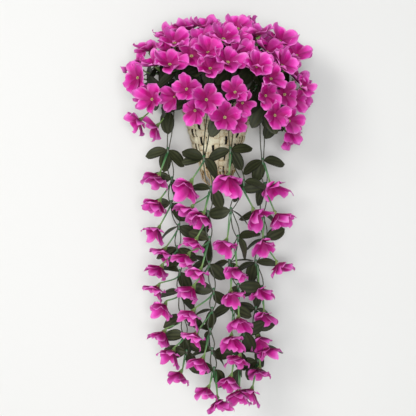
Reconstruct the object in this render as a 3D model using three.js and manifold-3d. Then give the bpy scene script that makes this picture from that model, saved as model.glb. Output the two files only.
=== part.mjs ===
// A wall-hung splint basket of cloth flowers: a dome of five-petalled blooms over a cone-shaped
// basket, with four leafy strands trailing below it. Millimetres, +Z up. The wall is the plane
// y = 0, the front faces -Y, and the origin is the nail that the hanging loop is hooked on.
import * as THREE from 'three';
import { mergeVertices } from 'three/addons/utils/BufferGeometryUtils.js';
import Module from 'manifold-3d';

const wasm = await Module();
wasm.setup();

// Driving dimensions, in millimetres and degrees.
const clearance = 0.35;

const basket = {
  rimZ: -50, tipZ: -216, rimHalfWidth: 74, rimDepth: 106, tipHalfWidth: 17, tipDepth: 25, taper: 0.82,
  wall: 3, floorZ: -190, frontColumns: 18, backColumns: 2, rows: 9, splintRelief: 1.6,
};
const hoop = { height: 8, width: 10 };
const loop = {
  radius: 1.5, legX: 16, legY: -6.6, topY: -1.9, shoulderZ: -14, knotRadius: 3, sides: 4, steps: 14,
};
const foam = { topZ: -60, bottomZ: -150, rootDepth: 24 };

// The dome is half an ellipsoid above its centre and a flatter half below it.
const dome = { centre: new THREE.Vector3(6, -78, -40), halfWidth: 186, depth: 130, rise: 159, drop: 120 };

// Each spray stands in the foam at its root, forks, and sends a bloom in each direction of its
// list, given as azimuth (0 to the front, + to the right) and elevation.
const sprays = {
  spray_left: {
    seed: 118, root: [-46, -26], fork: [-66, -46, -10],
    blooms: [[-66, 12], [-64, -3], [-78, -24], [-97, -33]],
  },
  spray_front_left: {
    seed: 130, root: [-34, -60], fork: [-44, -84, -10],
    blooms: [[-47, -7], [-35, -6], [-21, 0], [-20, -22]],
  },
  spray_front: {
    seed: 150, root: [0, -74], fork: [2, -94, -8],
    blooms: [[-9, -10], [9, -2], [2, -26], [15, -14], [12, -36]],
  },
  spray_front_right: {
    seed: 93, root: [34, -60], fork: [44, -84, -10],
    blooms: [[31, 8], [32, -5], [37, -23]],
  },
  spray_right: {
    seed: 237, root: [46, -26], fork: [70, -48, -10],
    blooms: [[54, -27], [50, -2], [60, 5], [66, -5], [68, -36], [85, 1], [90, -40], [74, 15]],
  },
  spray_upper_left: {
    seed: 85, root: [-26, -30], fork: [-44, -52, 12],
    blooms: [[-82, 24], [-61, 26], [-82, 38], [-59, 44], [-76, 54]],
  },
  spray_upper_mid_left: {
    seed: 122, root: [-14, -52], fork: [-18, -84, 14],
    blooms: [[-34, 19], [-24, 30], [-9, 27], [-8, 15], [-38, 38], [-20, 47]],
  },
  spray_upper_mid_right: {
    seed: 122, root: [14, -52], fork: [28, -84, 14],
    blooms: [[4, 19], [16, 29], [17, 13], [28, 23], [2, 40], [16, 43]],
  },
  spray_upper_right: {
    seed: 30, root: [26, -30], fork: [56, -56, 12],
    blooms: [[42, 19], [57, 23], [71, 31], [46, 38], [36, 50], [84, 40], [72, 47]],
  },
  spray_crown_left: {
    seed: 147, root: [-8, -24], fork: [-12, -48, 34],
    blooms: [[-69, 66], [-44, 74], [-22, 64], [-2, 58]],
  },
  spray_crown_right: {
    seed: 98, root: [10, -24], fork: [26, -48, 34],
    blooms: [[18, 58], [66, 58], [90, 66], [34, 74]],
  },
};

// Each strand rises from the foam, bends over the rim and hangs from whorl to whorl, each given as
// [x, z]. A bloom hangs off a whorl: [whorl, how far to its right, how far below it]. Each row of
// leafTurns gives the leaves of every fourth whorl, as turns from the right in the wall's plane.
const strands = {
  strand_left: {
    seed: 4, root: [-50, -44], over: [-88, -84], depth: -86, leafBack: 0.2,
    whorls: [
      [-101, -146], [-93, -205], [-95, -253], [-79, -300], [-82, -344],
      [-77, -392], [-77, -434], [-71, -482], [-66, -520], [-63, -554],
    ],
    blooms: [
      [0, -18, 51], [1, -25, 44], [2, -25, 50], [3, -28, 46], [4, -32, 36], [5, -44, 28],
      [6, -30, 22], [7, -37, 30], [8, -24, 28], [9, -11, 38],
    ],
    leafTurns: [[190, -42, -95], [-70, 172], [-48, 184], [205, -30]],
  },
  strand_mid_left: {
    seed: 42, root: [-17, -76], over: [-22, -120], depth: -152, leafBack: 0.35,
    whorls: [
      [-28, -167], [-14, -226], [-20, -273], [-17, -323], [-18, -371],
      [-9, -423], [-12, -460], [-16, -501], [-12, -538], [-8, -576],
    ],
    blooms: [
      [0, -26, 46], [1, -38, 36], [1, -15, 48], [2, -23, 50], [3, -42, 30], [3, -18, 58], [4, -31, 44],
      [5, -39, 38], [6, -30, 44], [7, -14, 50], [9, -11, 32], [9, 8, 54],
    ],
    leafTurns: [[195, -50, 150], [175, -62], [200, -95], [150, -100]],
  },
  strand_mid_right: {
    seed: 43, root: [17, -76], over: [26, -121], depth: -130, leafBack: 0.3,
    whorls: [
      [24, -149], [50, -212], [25, -267], [39, -321], [22, -369],
      [39, -416], [26, -457], [50, -506], [34, -545], [44, -579],
    ],
    blooms: [
      [0, -4, 53], [1, 20, 55], [2, -9, 60], [3, -4, 59], [4, 4, 57], [5, 1, 60],
      [6, 0, 54], [7, -9, 44], [8, -9, 46], [9, -4, 38],
    ],
    leafTurns: [[8, 200, -60], [2, -110], [205, -32], [-60, 20]],
  },
  strand_right: {
    seed: 29, root: [50, -44], over: [86, -84], depth: -80, leafBack: 0.2,
    whorls: [
      [91, -167], [96, -216], [90, -275], [96, -325], [77, -373],
      [90, -426], [77, -468], [77, -508], [88, -545], [82, -576],
    ],
    blooms: [
      [0, 17, 49], [1, 21, 58], [2, 1, 54], [3, 25, 49], [4, 7, 50], [5, 4, 49],
      [6, 4, 53], [7, 20, 36], [8, -4, 40], [9, -14, 52],
    ],
    leafTurns: [[-5, 200, -100], [-110, 190], [-25, 185], [25, 210]],
  },
};
const strand = {
  stemRadius: 1.9, stemGap: 3.2, liftZ: -34, overZ: -25, crestDrop: 20, crestOverlap: 8, tail: 16,
  depthSwing: 4, forward: 16, forwardSwing: 5, faceOut: 0.62, faceDown: 0.85, cup: 38, leafSwing: 10,
};

const bloom = {
  radius: 24, stretch: 0.06, notch: 0.62, shoulder: 19, thickness: 0.9, ruffle: 1.3, neck: 3,
};
const domeBloom = {
  cup: 20, inset: 0.13, faceFront: 0.45, jitter: 0.22, leafEvery: 4, leafAt: 0.55, leafDroop: 30,
};
const leaf = { length: 47, width: 25, thickness: 0.8, fold: 3 };
const pedicelRadius = 1.3;
const tubeSides = 3;
const stemSides = 4;
const sprayStem = { radius: 2.4, reach: 26, lift: 12 };

const front = new THREE.Vector3(0, -1, 0);
const up = new THREE.Vector3(0, 0, 1);
const down = new THREE.Vector3(0, 0, -1);
const radians = THREE.MathUtils.degToRad;

// Colours of the cloth, splints and stems.
const finishes = {
  petal: new THREE.MeshStandardMaterial({ color: 0xc0238f, roughness: 0.7, metalness: 0 }),
  leaf: new THREE.MeshStandardMaterial({ color: 0x4a563c, roughness: 0.6, metalness: 0 }),
  splint: new THREE.MeshStandardMaterial({ color: 0xd2c79e, roughness: 0.75, metalness: 0 }),
  hoop: new THREE.MeshStandardMaterial({ color: 0xb99a63, roughness: 0.7, metalness: 0 }),
  twine: new THREE.MeshStandardMaterial({ color: 0x9a7b4e, roughness: 0.9, metalness: 0 }),
  foam: new THREE.MeshStandardMaterial({ color: 0x3f4a34, roughness: 0.95, metalness: 0 }),
};

// A repeatable draw between 0 and 1 for item number i of a named seed.
function draw(seed, i) {
  const value = Math.sin(seed * 12.9898 + i * 78.233) * 43758.5453;
  return value - Math.floor(value);
}

function swing(seed, i, amount) {
  return (2 * draw(seed, i) - 1) * amount;
}

function geometryOf(points, faces) {
  const geometry = new THREE.BufferGeometry().setFromPoints(points);
  geometry.setIndex(faces.flat());
  return geometry;
}

function solidOf(geometry) {
  const bare = geometry.clone();
  bare.deleteAttribute('normal');
  bare.deleteAttribute('uv');
  const merged = mergeVertices(bare, 1e-4);
  return new wasm.Manifold(new wasm.Mesh({
    numProp: 3,
    tolerance: 0.01,
    vertProperties: new Float32Array(merged.attributes.position.array),
    triVerts: new Uint32Array(merged.index.array),
  }));
}

function meshOf(name, solid, material) {
  const { vertProperties, triVerts } = solid.getMesh();
  const geometry = new THREE.BufferGeometry();
  geometry.setAttribute('position', new THREE.BufferAttribute(vertProperties, 3));
  geometry.setIndex(new THREE.BufferAttribute(triVerts, 1));
  geometry.computeVertexNormals();
  const mesh = new THREE.Mesh(geometry, material);
  mesh.name = name;
  return mesh;
}

function fuse(solids) {
  return solids.reduce((whole, piece) => whole.add(piece));
}

// Skins a stack of rings that all have the same number of points. A stack is capped at both
// ends, or joined back to its first ring when it closes on itself.
function skin(rings, closesOnItself = false) {
  const count = rings[0].length;
  const points = rings.flat();
  const faces = [];
  const spans = closesOnItself ? rings.length : rings.length - 1;
  for (let r = 0; r < spans; r += 1) {
    const low = r * count;
    const high = ((r + 1) % rings.length) * count;
    for (let i = 0; i < count; i += 1) {
      const j = (i + 1) % count;
      faces.push([low + i, low + j, high + j], [low + i, high + j, high + i]);
    }
  }
  if (!closesOnItself) {
    [[0, true], [(rings.length - 1) * count, false]].forEach(([start, isFirst]) => {
      const middle = new THREE.Vector3();
      for (let i = 0; i < count; i += 1) middle.addScaledVector(points[start + i], 1 / count);
      const centre = points.push(middle) - 1;
      for (let i = 0; i < count; i += 1) {
        const here = start + i;
        const next = start + ((i + 1) % count);
        faces.push(isFirst ? [centre, next, here] : [centre, here, next]);
      }
    });
  }
  return geometryOf(points, faces);
}

// The basket's D-shaped outline at a height: a half ellipse to the front and a flat back.
function basketOutline(z, inset, row = null) {
  const share = (z - basket.tipZ) / (basket.rimZ - basket.tipZ);
  const swell = Math.max(share, 0) ** basket.taper;
  const half = THREE.MathUtils.lerp(basket.tipHalfWidth, basket.rimHalfWidth, swell) - inset;
  const reach = THREE.MathUtils.lerp(basket.tipDepth, basket.rimDepth, swell) - 2 * inset;
  const outline = [];
  for (let i = 0; i <= basket.frontColumns; i += 1) {
    const turn = radians(-90 + 180 * i / basket.frontColumns);
    const isInside = i > 0 && i < basket.frontColumns;
    const isOver = (Math.floor((i + 1) / 2) + row) % 2 === 0;
    const relief = row !== null && isInside && isOver ? basket.splintRelief : 0;
    outline.push(new THREE.Vector3(
      (half + relief) * Math.sin(turn),
      -inset - (reach + relief) * Math.cos(turn),
      z,
    ));
  }
  for (let i = 1; i < basket.backColumns; i += 1) {
    outline.push(new THREE.Vector3(half * (1 - 2 * i / basket.backColumns), -inset, z));
  }
  return outline;
}

function makeBasket() {
  const rings = [];
  for (let row = 0; row <= basket.rows; row += 1) {
    const z = THREE.MathUtils.lerp(basket.tipZ, basket.rimZ, row / basket.rows);
    const isEnd = row === 0 || row === basket.rows;
    rings.push(basketOutline(z, 0, isEnd ? null : row));
  }
  [basket.rimZ, foam.topZ, (foam.topZ + foam.bottomZ) / 2, foam.bottomZ, basket.floorZ].forEach((z) => {
    rings.push(basketOutline(z, basket.wall));
  });
  return solidOf(skin(rings));
}

function makeHoop() {
  const low = basket.rimZ + clearance;
  const high = low + hoop.height;
  const atHeight = (z, inset) => basketOutline(basket.rimZ, inset).map((p) => p.setZ(z));
  const band = solidOf(skin([
    atHeight(low, 0), atHeight(high, 0), atHeight(high, hoop.width), atHeight(low, hoop.width),
  ], true));
  const holes = [-1, 1].map((side) => {
    const hole = new THREE.CylinderGeometry(loop.radius + 0.8, loop.radius + 0.8, 3 * hoop.height, 6);
    hole.rotateX(Math.PI / 2);
    hole.translate(side * loop.legX, loop.legY, (low + high) / 2);
    return solidOf(hole);
  });
  return band.subtract(fuse(holes));
}

function polygon(radius, sides) {
  return Array.from({ length: sides }, (_, i) => {
    const turn = 2 * Math.PI * i / sides;
    return new THREE.Vector2(radius * Math.cos(turn), radius * Math.sin(turn));
  });
}

function extrudeAlong(points, radius, sides, steps) {
  const extrudePath = new THREE.CatmullRomCurve3(points);
  return solidOf(new THREE.ExtrudeGeometry(
    new THREE.Shape(polygon(radius, sides)),
    { steps, bevelEnabled: false, extrudePath },
  ));
}

// A stem through the points of its route, with one ring of sides at each. Rings that hang
// straight below one another stay level, so that the sides between them are flat.
function tubeThrough(points, radius, sides, levelFrom = points.length) {
  let width = new THREE.Vector3(1, 0, 0);
  return solidOf(skin(points.map((point, i) => {
    const ring = polygon(radius, sides);
    if (i >= levelFrom) return ring.map((p) => new THREE.Vector3(p.x, -p.y, 0).add(point));
    const from = points[Math.max(i - 1, 0)];
    const along = points[Math.min(i + 1, points.length - 1)].clone().sub(from).normalize();
    width = width.clone().addScaledVector(along, -width.dot(along)).normalize();
    const depth = new THREE.Vector3().crossVectors(along, width);
    return ring.map((p) => point.clone().addScaledVector(width, p.x).addScaledVector(depth, p.y));
  })));
}

// The loop passes down through both holes of the hoop and is knotted under it.
function makeLoop() {
  const knotZ = basket.rimZ - loop.knotRadius;
  const leg = (side) => [
    new THREE.Vector3(side * loop.legX, loop.legY, knotZ),
    new THREE.Vector3(side * loop.legX, loop.legY, basket.rimZ + hoop.height + 2),
    new THREE.Vector3(side * loop.legX * 0.72, (loop.legY + loop.topY) / 2, loop.shoulderZ),
  ];
  const top = new THREE.Vector3(0, loop.topY, loop.radius + 0.5);
  const wire = extrudeAlong([...leg(-1), top, ...leg(1).reverse()], loop.radius, loop.sides, loop.steps);
  const knots = [-1, 1].map((side) => {
    const knot = new THREE.IcosahedronGeometry(loop.knotRadius, 0);
    knot.translate(side * loop.legX, loop.legY - 0.2, knotZ);
    return solidOf(knot);
  });
  return fuse([wire, ...knots]);
}

// The stretch of a stem that stands upright in the foam, and a little way above it.
function rootPoints(root) {
  return [foam.topZ - foam.rootDepth, foam.topZ + 1].map((z) => new THREE.Vector3(root[0], root[1], z));
}

function makeFoam() {
  const heights = [foam.bottomZ, (foam.topZ + foam.bottomZ) / 2, foam.topZ];
  const block = solidOf(skin(heights.map((z) => basketOutline(z, basket.wall + clearance))));
  const roots = [...Object.values(sprays), ...Object.values(strands)].map((item) => item.root);
  const holes = roots.map((root) => {
    const [low, high] = rootPoints(root);
    return tubeThrough([low.addScaledVector(down, clearance), high], sprayStem.radius + 0.5, stemSides);
  });
  return block.subtract(fuse(holes));
}

// A bloom on its pedicel, as one closed skin: a thin arched blade cut into five petals, whose
// back runs into the calyx and on down the pedicel to its root.
function makeBloom({ root, centre, facing, spin, cup, seed }) {
  const side = new THREE.Vector3().crossVectors(facing, Math.abs(facing.z) > 0.9 ? front : up).normalize();
  const across = new THREE.Vector3().crossVectors(facing, side);
  const outline = [];
  for (let petal = 0; petal < 5; petal += 1) {
    const reach = 1 + swing(seed, petal, bloom.stretch);
    const corners = [
      [-36, bloom.notch, 0],
      [-bloom.shoulder, reach, swing(seed + 1, petal, bloom.ruffle)],
      [bloom.shoulder, reach, swing(seed + 2, petal, bloom.ruffle)],
    ];
    corners.forEach(([turn, share, wave]) => {
      outline.push({ turn: radians(spin + 72 * petal + turn), length: bloom.radius * share, wave });
    });
  }
  const place = (turn, radius, height) => centre.clone()
    .addScaledVector(side, radius * Math.cos(turn))
    .addScaledVector(across, radius * Math.sin(turn))
    .addScaledVector(facing, height);
  const rise = Math.sin(radians(cup));
  const run = Math.cos(radians(cup));
  const back = outline.map((p) => place(p.turn, p.length * run, p.length * rise + p.wave));
  const rim = back.map((p) => p.clone().addScaledVector(facing, bloom.thickness));
  const points = [...back, ...rim, place(0, 0, bloom.thickness + 0.4)];
  const count = outline.length;
  const eye = 2 * count;
  const faces = [];
  const ringStart = points.length;
  const spokes = Array.from({ length: tubeSides }, (_, k) => outline[0].turn + 2 * Math.PI * k / tubeSides);
  spokes.forEach((turn) => points.push(place(turn, bloom.neck, bloom.neck * rise / run)));
  const spokeOf = (j) => Math.round(j * tubeSides / count) % tubeSides;
  for (let j = 0; j < count; j += 1) {
    const next = (j + 1) % count;
    faces.push([eye, count + j, count + next]);
    faces.push([j, next, count + next], [j, count + next, count + j]);
    faces.push([ringStart + spokeOf(j), next, j]);
    if (spokeOf(j) !== spokeOf(next)) faces.push([ringStart + spokeOf(j), ringStart + spokeOf(next), next]);
  }
  // The pedicel tapers from the back of the bloom to its root.
  const along = centre.clone().sub(root).normalize();
  const width = place(spokes[0], 1, 0).sub(centre);
  width.addScaledVector(along, -width.dot(along)).normalize();
  const depth = new THREE.Vector3().crossVectors(along, width);
  const end = points.length;
  polygon(pedicelRadius, tubeSides).forEach((p) => {
    points.push(root.clone().addScaledVector(width, p.x).addScaledVector(depth, p.y));
  });
  for (let k = 0; k < tubeSides; k += 1) {
    const next = (k + 1) % tubeSides;
    faces.push([end + k, end + next, ringStart + next], [end + k, ringStart + next, ringStart + k]);
  }
  faces.push([end, end + 2, end + 1]);
  return solidOf(geometryOf(points, faces));
}

// A pointed elliptic leaf as a thin blade whose two halves fold up from its rib.
function makeLeaf({ root, along, upward }) {
  const sideways = new THREE.Vector3().crossVectors(along, upward).normalize();
  const normal = new THREE.Vector3().crossVectors(sideways, along).normalize();
  const place = (length, width, height) => root.clone()
    .addScaledVector(along, length * leaf.length)
    .addScaledVector(sideways, width * leaf.width / 2)
    .addScaledVector(normal, height - leaf.thickness / 2);
  const under = [
    place(0, 0, 0), place(0.32, 0.92, leaf.fold), place(0.68, 0.84, leaf.fold / 2),
    place(1, 0, -leaf.fold), place(0.68, -0.84, leaf.fold / 2), place(0.32, -0.92, leaf.fold),
  ];
  const over = under.map((p) => p.clone().addScaledVector(normal, leaf.thickness));
  const count = under.length;
  const faces = [[0, 5, 1], [1, 5, 3], [1, 3, 2], [5, 4, 3]].flatMap(([a, b, c]) => [
    [a, b, c], [count + a, count + c, count + b],
  ]);
  for (let i = 0; i < count; i += 1) {
    const next = (i + 1) % count;
    faces.push([i, count + next, count + i], [i, next, count + next]);
  }
  return solidOf(geometryOf([...under, ...over], faces));
}

function direction(azimuth, elevation) {
  const flat = Math.cos(radians(elevation));
  return new THREE.Vector3(
    flat * Math.sin(radians(azimuth)),
    -flat * Math.cos(radians(azimuth)),
    Math.sin(radians(elevation)),
  );
}

function onDome(azimuth, elevation, share) {
  const way = direction(azimuth, elevation);
  const height = way.z > 0 ? dome.rise : dome.drop;
  return dome.centre.clone().add(new THREE.Vector3(
    way.x * dome.halfWidth, way.y * dome.depth, way.z * height,
  ).multiplyScalar(share));
}

function makeSpray(name, spray) {
  const { seed } = spray;
  const fork = new THREE.Vector3(...spray.fork);
  const outward = fork.clone().sub(dome.centre).setZ(sprayStem.lift).normalize();
  const stemEnd = fork.clone().addScaledVector(outward, sprayStem.reach);
  const pieces = [tubeThrough([...rootPoints(spray.root), fork, stemEnd], sprayStem.radius, stemSides)];
  const centres = spray.blooms.map(([azimuth, elevation], i) => (
    onDome(azimuth, elevation, 1 - domeBloom.inset * (i % 2))
  ));
  const turnFromStem = (centre) => centre.clone().sub(fork).angleTo(outward);
  const order = [...centres].sort((a, b) => turnFromStem(b) - turnFromStem(a));
  spray.blooms.forEach(([azimuth, elevation], i) => {
    const centre = centres[i];
    const facing = direction(azimuth, elevation)
      .addScaledVector(front, domeBloom.faceFront * Math.cos(radians(elevation)))
      .add(new THREE.Vector3(...[0, 40, 80].map((k) => swing(seed, i + k, domeBloom.jitter))))
      .normalize();
    const base = fork.clone().lerp(stemEnd, (order.indexOf(centre) + 0.5) / centres.length);
    pieces.push(makeBloom({
      root: base, centre, facing, spin: 72 * draw(seed, i + 120), cup: domeBloom.cup, seed: seed + i,
    }));
    if (i % domeBloom.leafEvery === 0) {
      pieces.push(makeLeaf({
        root: base.clone().lerp(centre, domeBloom.leafAt),
        along: direction(azimuth + swing(seed, i + 160, 30), elevation - domeBloom.leafDroop),
        upward: up.clone().addScaledVector(front, 0.5),
      }));
    }
  });
  return meshOf(name, fuse(pieces), finishes.petal);
}

// The whorls of a strand, from the top down.
function whorlsOf({ seed, depth, whorls }) {
  return whorls.map(([x, z], i) => new THREE.Vector3(x, depth + swing(seed, i, strand.depthSwing), z));
}

// Two thin stems part at the crest and run side by side, one to each side of the whorls.
function stemRoutes({ root, over }, whorls) {
  const [low, high] = rootPoints(root);
  const crestEnd = new THREE.Vector3(...over, strand.overZ - strand.crestDrop);
  const crest = [
    low, high, high.clone().setZ(strand.liftZ),
    new THREE.Vector3((root[0] + over[0]) / 2, (root[1] + over[1]) / 2, strand.overZ),
    crestEnd,
  ];
  return [-1, 1].map((side) => {
    const knots = whorls.map((whorl) => whorl.clone().setX(whorl.x + side * strand.stemGap));
    knots.push(knots.at(-1).clone().addScaledVector(down, strand.tail));
    const start = side < 0 ? crest : [crestEnd.clone().addScaledVector(up, strand.crestOverlap)];
    return { points: [...start, ...knots], knots };
  });
}

function makeStrand(name, item) {
  const { seed } = item;
  const whorls = whorlsOf(item);
  const stems = stemRoutes(item, whorls);
  const stemToward = (x) => stems[x < 0 ? 0 : 1];
  const pieces = stems.map((stem) => tubeThrough(
    stem.points, strand.stemRadius, stemSides, stem.points.length - stem.knots.length,
  ));
  item.blooms.forEach(([i, right, drop], k) => {
    const out = new THREE.Vector3(right, -strand.forward + swing(seed, k + 60, strand.forwardSwing), 0);
    const { knots } = stemToward(right);
    out.normalize();
    pieces.push(makeBloom({
      root: knots[i].clone().lerp(knots[i + 1], k % 2 ? 0.2 : 0.1),
      centre: whorls[i].clone().add(new THREE.Vector3(right, out.y * strand.forward, -drop)),
      facing: out.clone().multiplyScalar(strand.faceOut).addScaledVector(down, strand.faceDown).normalize(),
      spin: 72 * draw(seed, k + 180),
      cup: strand.cup,
      seed: seed + k,
    }));
  });
  whorls.forEach((whorl, i) => {
    item.leafTurns[i % item.leafTurns.length].forEach((turn, k) => {
      const pick = 4 * i + k;
      const angle = radians(turn + swing(seed, pick + 220, strand.leafSwing));
      const along = new THREE.Vector3(
        Math.cos(angle), item.leafBack + swing(seed, pick + 260, 0.1), Math.sin(angle),
      ).normalize();
      pieces.push(makeLeaf({
        root: stemToward(along.x).knots[i],
        along,
        upward: up.clone().multiplyScalar(0.6).addScaledVector(front, 0.8),
      }));
    });
  });
  return meshOf(name, fuse(pieces), finishes.leaf);
}

const object = new THREE.Group();
object.add(meshOf('basket', makeBasket(), finishes.splint));
object.add(meshOf('rim_hoop', makeHoop(), finishes.hoop));
object.add(meshOf('hanging_loop', makeLoop(), finishes.twine));
object.add(meshOf('foam_block', makeFoam(), finishes.foam));
Object.entries(sprays).forEach(([name, spray]) => object.add(makeSpray(name, spray)));
Object.entries(strands).forEach(([name, item]) => object.add(makeStrand(name, item)));

export default object;
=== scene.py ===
# A wall-hung splint basket of cloth flowers. Places and sizes are in millimetres and are
# turned into Blender's metres where a mesh or a curve is made. The wall is y = 0, the
# front faces -Y, and the origin is the nail of the hanging loop.
import math

import bpy
from mathutils import Matrix, Vector
from mathutils.kdtree import KDTree


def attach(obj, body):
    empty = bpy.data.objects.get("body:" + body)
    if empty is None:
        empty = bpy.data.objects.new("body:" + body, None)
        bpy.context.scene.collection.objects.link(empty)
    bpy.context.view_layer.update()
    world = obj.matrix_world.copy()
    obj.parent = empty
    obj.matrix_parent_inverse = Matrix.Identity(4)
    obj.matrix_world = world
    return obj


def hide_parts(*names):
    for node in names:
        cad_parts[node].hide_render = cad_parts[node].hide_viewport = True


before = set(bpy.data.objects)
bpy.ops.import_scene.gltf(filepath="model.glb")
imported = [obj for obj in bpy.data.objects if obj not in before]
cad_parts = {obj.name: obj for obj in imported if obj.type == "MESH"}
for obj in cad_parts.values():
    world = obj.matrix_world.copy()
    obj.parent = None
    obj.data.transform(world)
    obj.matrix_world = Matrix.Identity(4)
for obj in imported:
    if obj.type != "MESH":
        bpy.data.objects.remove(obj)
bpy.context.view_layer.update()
mm = 0.001
front = Vector((0, -1, 0))
up = Vector((0, 0, 1))
down = Vector((0, 0, -1))
print("frame loaded with", len(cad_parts), "nodes")


def draw(seed, i):
    value = math.sin(seed * 12.9898 + i * 78.233) * 43758.5453  # the same draw as the solids use
    return value - math.floor(value)


def swing(seed, i, amount):
    return (2 * draw(seed, i) - 1) * amount


def mix(a, b, share):
    return a + (b - a) * share


def fade(value, start, span):
    # 0 up to the start, then rising to 1 over the span
    return min(max((value - start) / span, 0), 1)


def direction(azimuth, elevation):
    flat = math.cos(math.radians(elevation))
    turn = math.radians(azimuth)
    return Vector((flat * math.sin(turn), -flat * math.cos(turn), math.sin(math.radians(elevation))))


def bezier(a, b, c, d, share):
    rest = 1 - share
    return a * rest ** 3 + b * 3 * rest ** 2 * share + c * 3 * rest * share ** 2 + d * share ** 3


def smoothRoute(points, stepsPerSpan):
    # a Catmull-Rom line through the points
    line = []
    for i in range(len(points) - 1):
        a, b, c, d = (points[min(max(k, 0), len(points) - 1)] for k in (i - 1, i, i + 1, i + 2))
        for step in range(stepsPerSpan):
            t = step / stepsPerSpan
            line.append(0.5 * (2 * b + (c - a) * t + (2 * a - 5 * b + 4 * c - d) * t * t
                               + (3 * b - a - 3 * c + d) * t ** 3))
    return line + [points[-1].copy()]


def chooseOnly(*objects):
    for other in bpy.context.selected_objects:
        other.select_set(False)
    for chosen in objects:
        chosen.select_set(True)
    bpy.context.view_layer.objects.active = objects[0]


def applyModifier(obj, kind, **settings):
    modifier = obj.modifiers.new(kind.title(), kind)
    for name, value in settings.items():
        setattr(modifier, name, value)
    chooseOnly(obj)
    bpy.ops.object.modifier_apply(modifier=modifier.name)


def thicken(obj, thickness, offset=0):
    applyModifier(obj, "SOLIDIFY", thickness=thickness * mm, offset=offset)


def addPrimitive(operator, **settings):
    bpy.ops.object.select_all(action="DESELECT")
    operator(**settings)
    bpy.ops.object.transform_apply(location=True)
    return bpy.context.object


def addGrid(name, columns, rows):
    # a unit sheet with UVs, ready to be shaped
    obj = addPrimitive(bpy.ops.mesh.primitive_grid_add, x_subdivisions=columns, y_subdivisions=rows, size=1)
    obj.name = obj.data.name = name
    return obj


def shape(obj, rule):
    # moves every vertex of a fresh unit sheet: across from -1 to 1, along from 0 to 1
    for vertex in obj.data.vertices:
        vertex.co = rule(2 * vertex.co.x, vertex.co.y + 0.5) * mm


def cleanUp(obj, distance=0.02):
    # merges doubles and turns the faces outward
    chooseOnly(obj)
    bpy.ops.object.mode_set(mode="EDIT")
    bpy.ops.mesh.select_all(action="SELECT")
    bpy.ops.mesh.remove_doubles(threshold=distance * mm)
    bpy.ops.mesh.normals_make_consistent(inside=False)
    bpy.ops.object.mode_set(mode="OBJECT")


def paint(obj, name, values):
    attribute = obj.data.attributes.get(name) or obj.data.attributes.new(name, "FLOAT", "POINT")
    if not hasattr(values, "__len__"):
        values = [values] * len(obj.data.vertices)
    attribute.data.foreach_set("value", values)


def join(objects, name):
    chooseOnly(*objects)
    if len(objects) > 1:
        bpy.ops.object.join()
    whole = bpy.context.view_layer.objects.active
    whole.name = whole.data.name = name
    return whole


def link(obj):
    bpy.context.scene.collection.objects.link(obj)
    return obj


def placeCopy(model, matrix, tint=None):
    copy = model.copy()
    copy.data = model.data.copy()
    copy.data.transform(matrix)
    if tint is not None:
        paint(copy, "tint", tint)
    return link(copy)


def poseMatrix(centre, x, y, z):
    # axes as columns, with the place in millimetres
    turned = Matrix((x, y, z)).transposed().to_4x4()
    return Matrix.Translation(centre * mm) @ turned


def addTubes(name, routes):
    # one curve for all the six-sided tubes; a route is a list of (point, radius, ripeness)
    curve = bpy.data.curves.new(name, "CURVE")
    curve.dimensions = "3D"
    curve.bevel_depth = mm
    curve.bevel_resolution = 1
    curve.use_fill_caps = True
    for route in routes:
        spline = curve.splines.new("POLY")
        spline.points.add(len(route) - 1)
        for spot, (point, radius, _) in zip(spline.points, route):
            spot.co = (*(point * mm), 1)
            spot.radius = radius
    obj = link(bpy.data.objects.new(name, curve))
    chooseOnly(obj)
    bpy.ops.object.convert(target="MESH")
    cleanUp(obj)
    # each vertex is as ripe as the nearest point of a route
    spots = [(point * mm, ripe) for route in routes for point, _, ripe in route]
    tree = KDTree(len(spots))
    for i, (point, _) in enumerate(spots):
        tree.insert(point, i)
    tree.balance()
    paint(obj, "ripe", [spots[tree.find(vertex.co)[1]][1] for vertex in obj.data.vertices])
    return obj


def finishPiece(obj, material, nodes=(), angle=50):
    chooseOnly(obj)
    bpy.ops.object.shade_smooth_by_angle(angle=math.radians(angle))
    obj.data.materials.clear()
    obj.data.materials.append(material)
    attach(obj, "root")
    if nodes:
        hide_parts(*nodes)


def colour(red, green, blue):
    # a colour as a paint program shows it
    channels = [value / 255 for value in (red, green, blue)]
    return (*[c / 12.92 if c <= 0.04045 else ((c + 0.055) / 1.055) ** 2.4 for c in channels], 1)


black = colour(0, 0, 0)
white = colour(255, 255, 255)


def addNode(tree, kind, inputs=None, **settings):
    # an input is a socket to link from or a plain value
    node = tree.nodes.new(kind)
    for name, value in settings.items():
        setattr(node, name, value)
    for name, value in (inputs or {}).items():
        if isinstance(value, bpy.types.NodeSocket):
            tree.links.new(value, node.inputs[name])
        else:
            node.inputs[name].default_value = value
    return node


def mathNode(tree, operation, a, b, clamp=False):
    return addNode(tree, "ShaderNodeMath", {0: a, 1: b}, operation=operation, use_clamp=clamp).outputs[0]


def scaled(tree, value, amount):
    return mathNode(tree, "MULTIPLY", value, amount)


def mixColour(tree, factor, a, b, blend="MIX"):
    node = addNode(tree, "ShaderNodeMix", {0: factor, 6: a, 7: b}, data_type="RGBA", blend_type=blend)
    return node.outputs[2]


def rampNode(tree, factor, stops):
    node = addNode(tree, "ShaderNodeValToRGB", {"Fac": factor})
    elements = node.color_ramp.elements
    while len(elements) < len(stops):
        elements.new(0.5)
    for element, (place, value) in zip(elements, stops):
        element.position = place
        element.color = value
    return node.outputs["Color"]


def stepMask(tree, factor, low, high):
    return rampNode(tree, factor, [(low, black), (high, white)])


def waveNode(tree, vector, axis, scale, distortion, detail=1.0, offset=0.0):
    inputs = {"Vector": vector, "Scale": scale, "Distortion": distortion, "Detail": detail,
              "Phase Offset": offset}
    return addNode(tree, "ShaderNodeTexWave", inputs, bands_direction=axis).outputs["Fac"]


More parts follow.
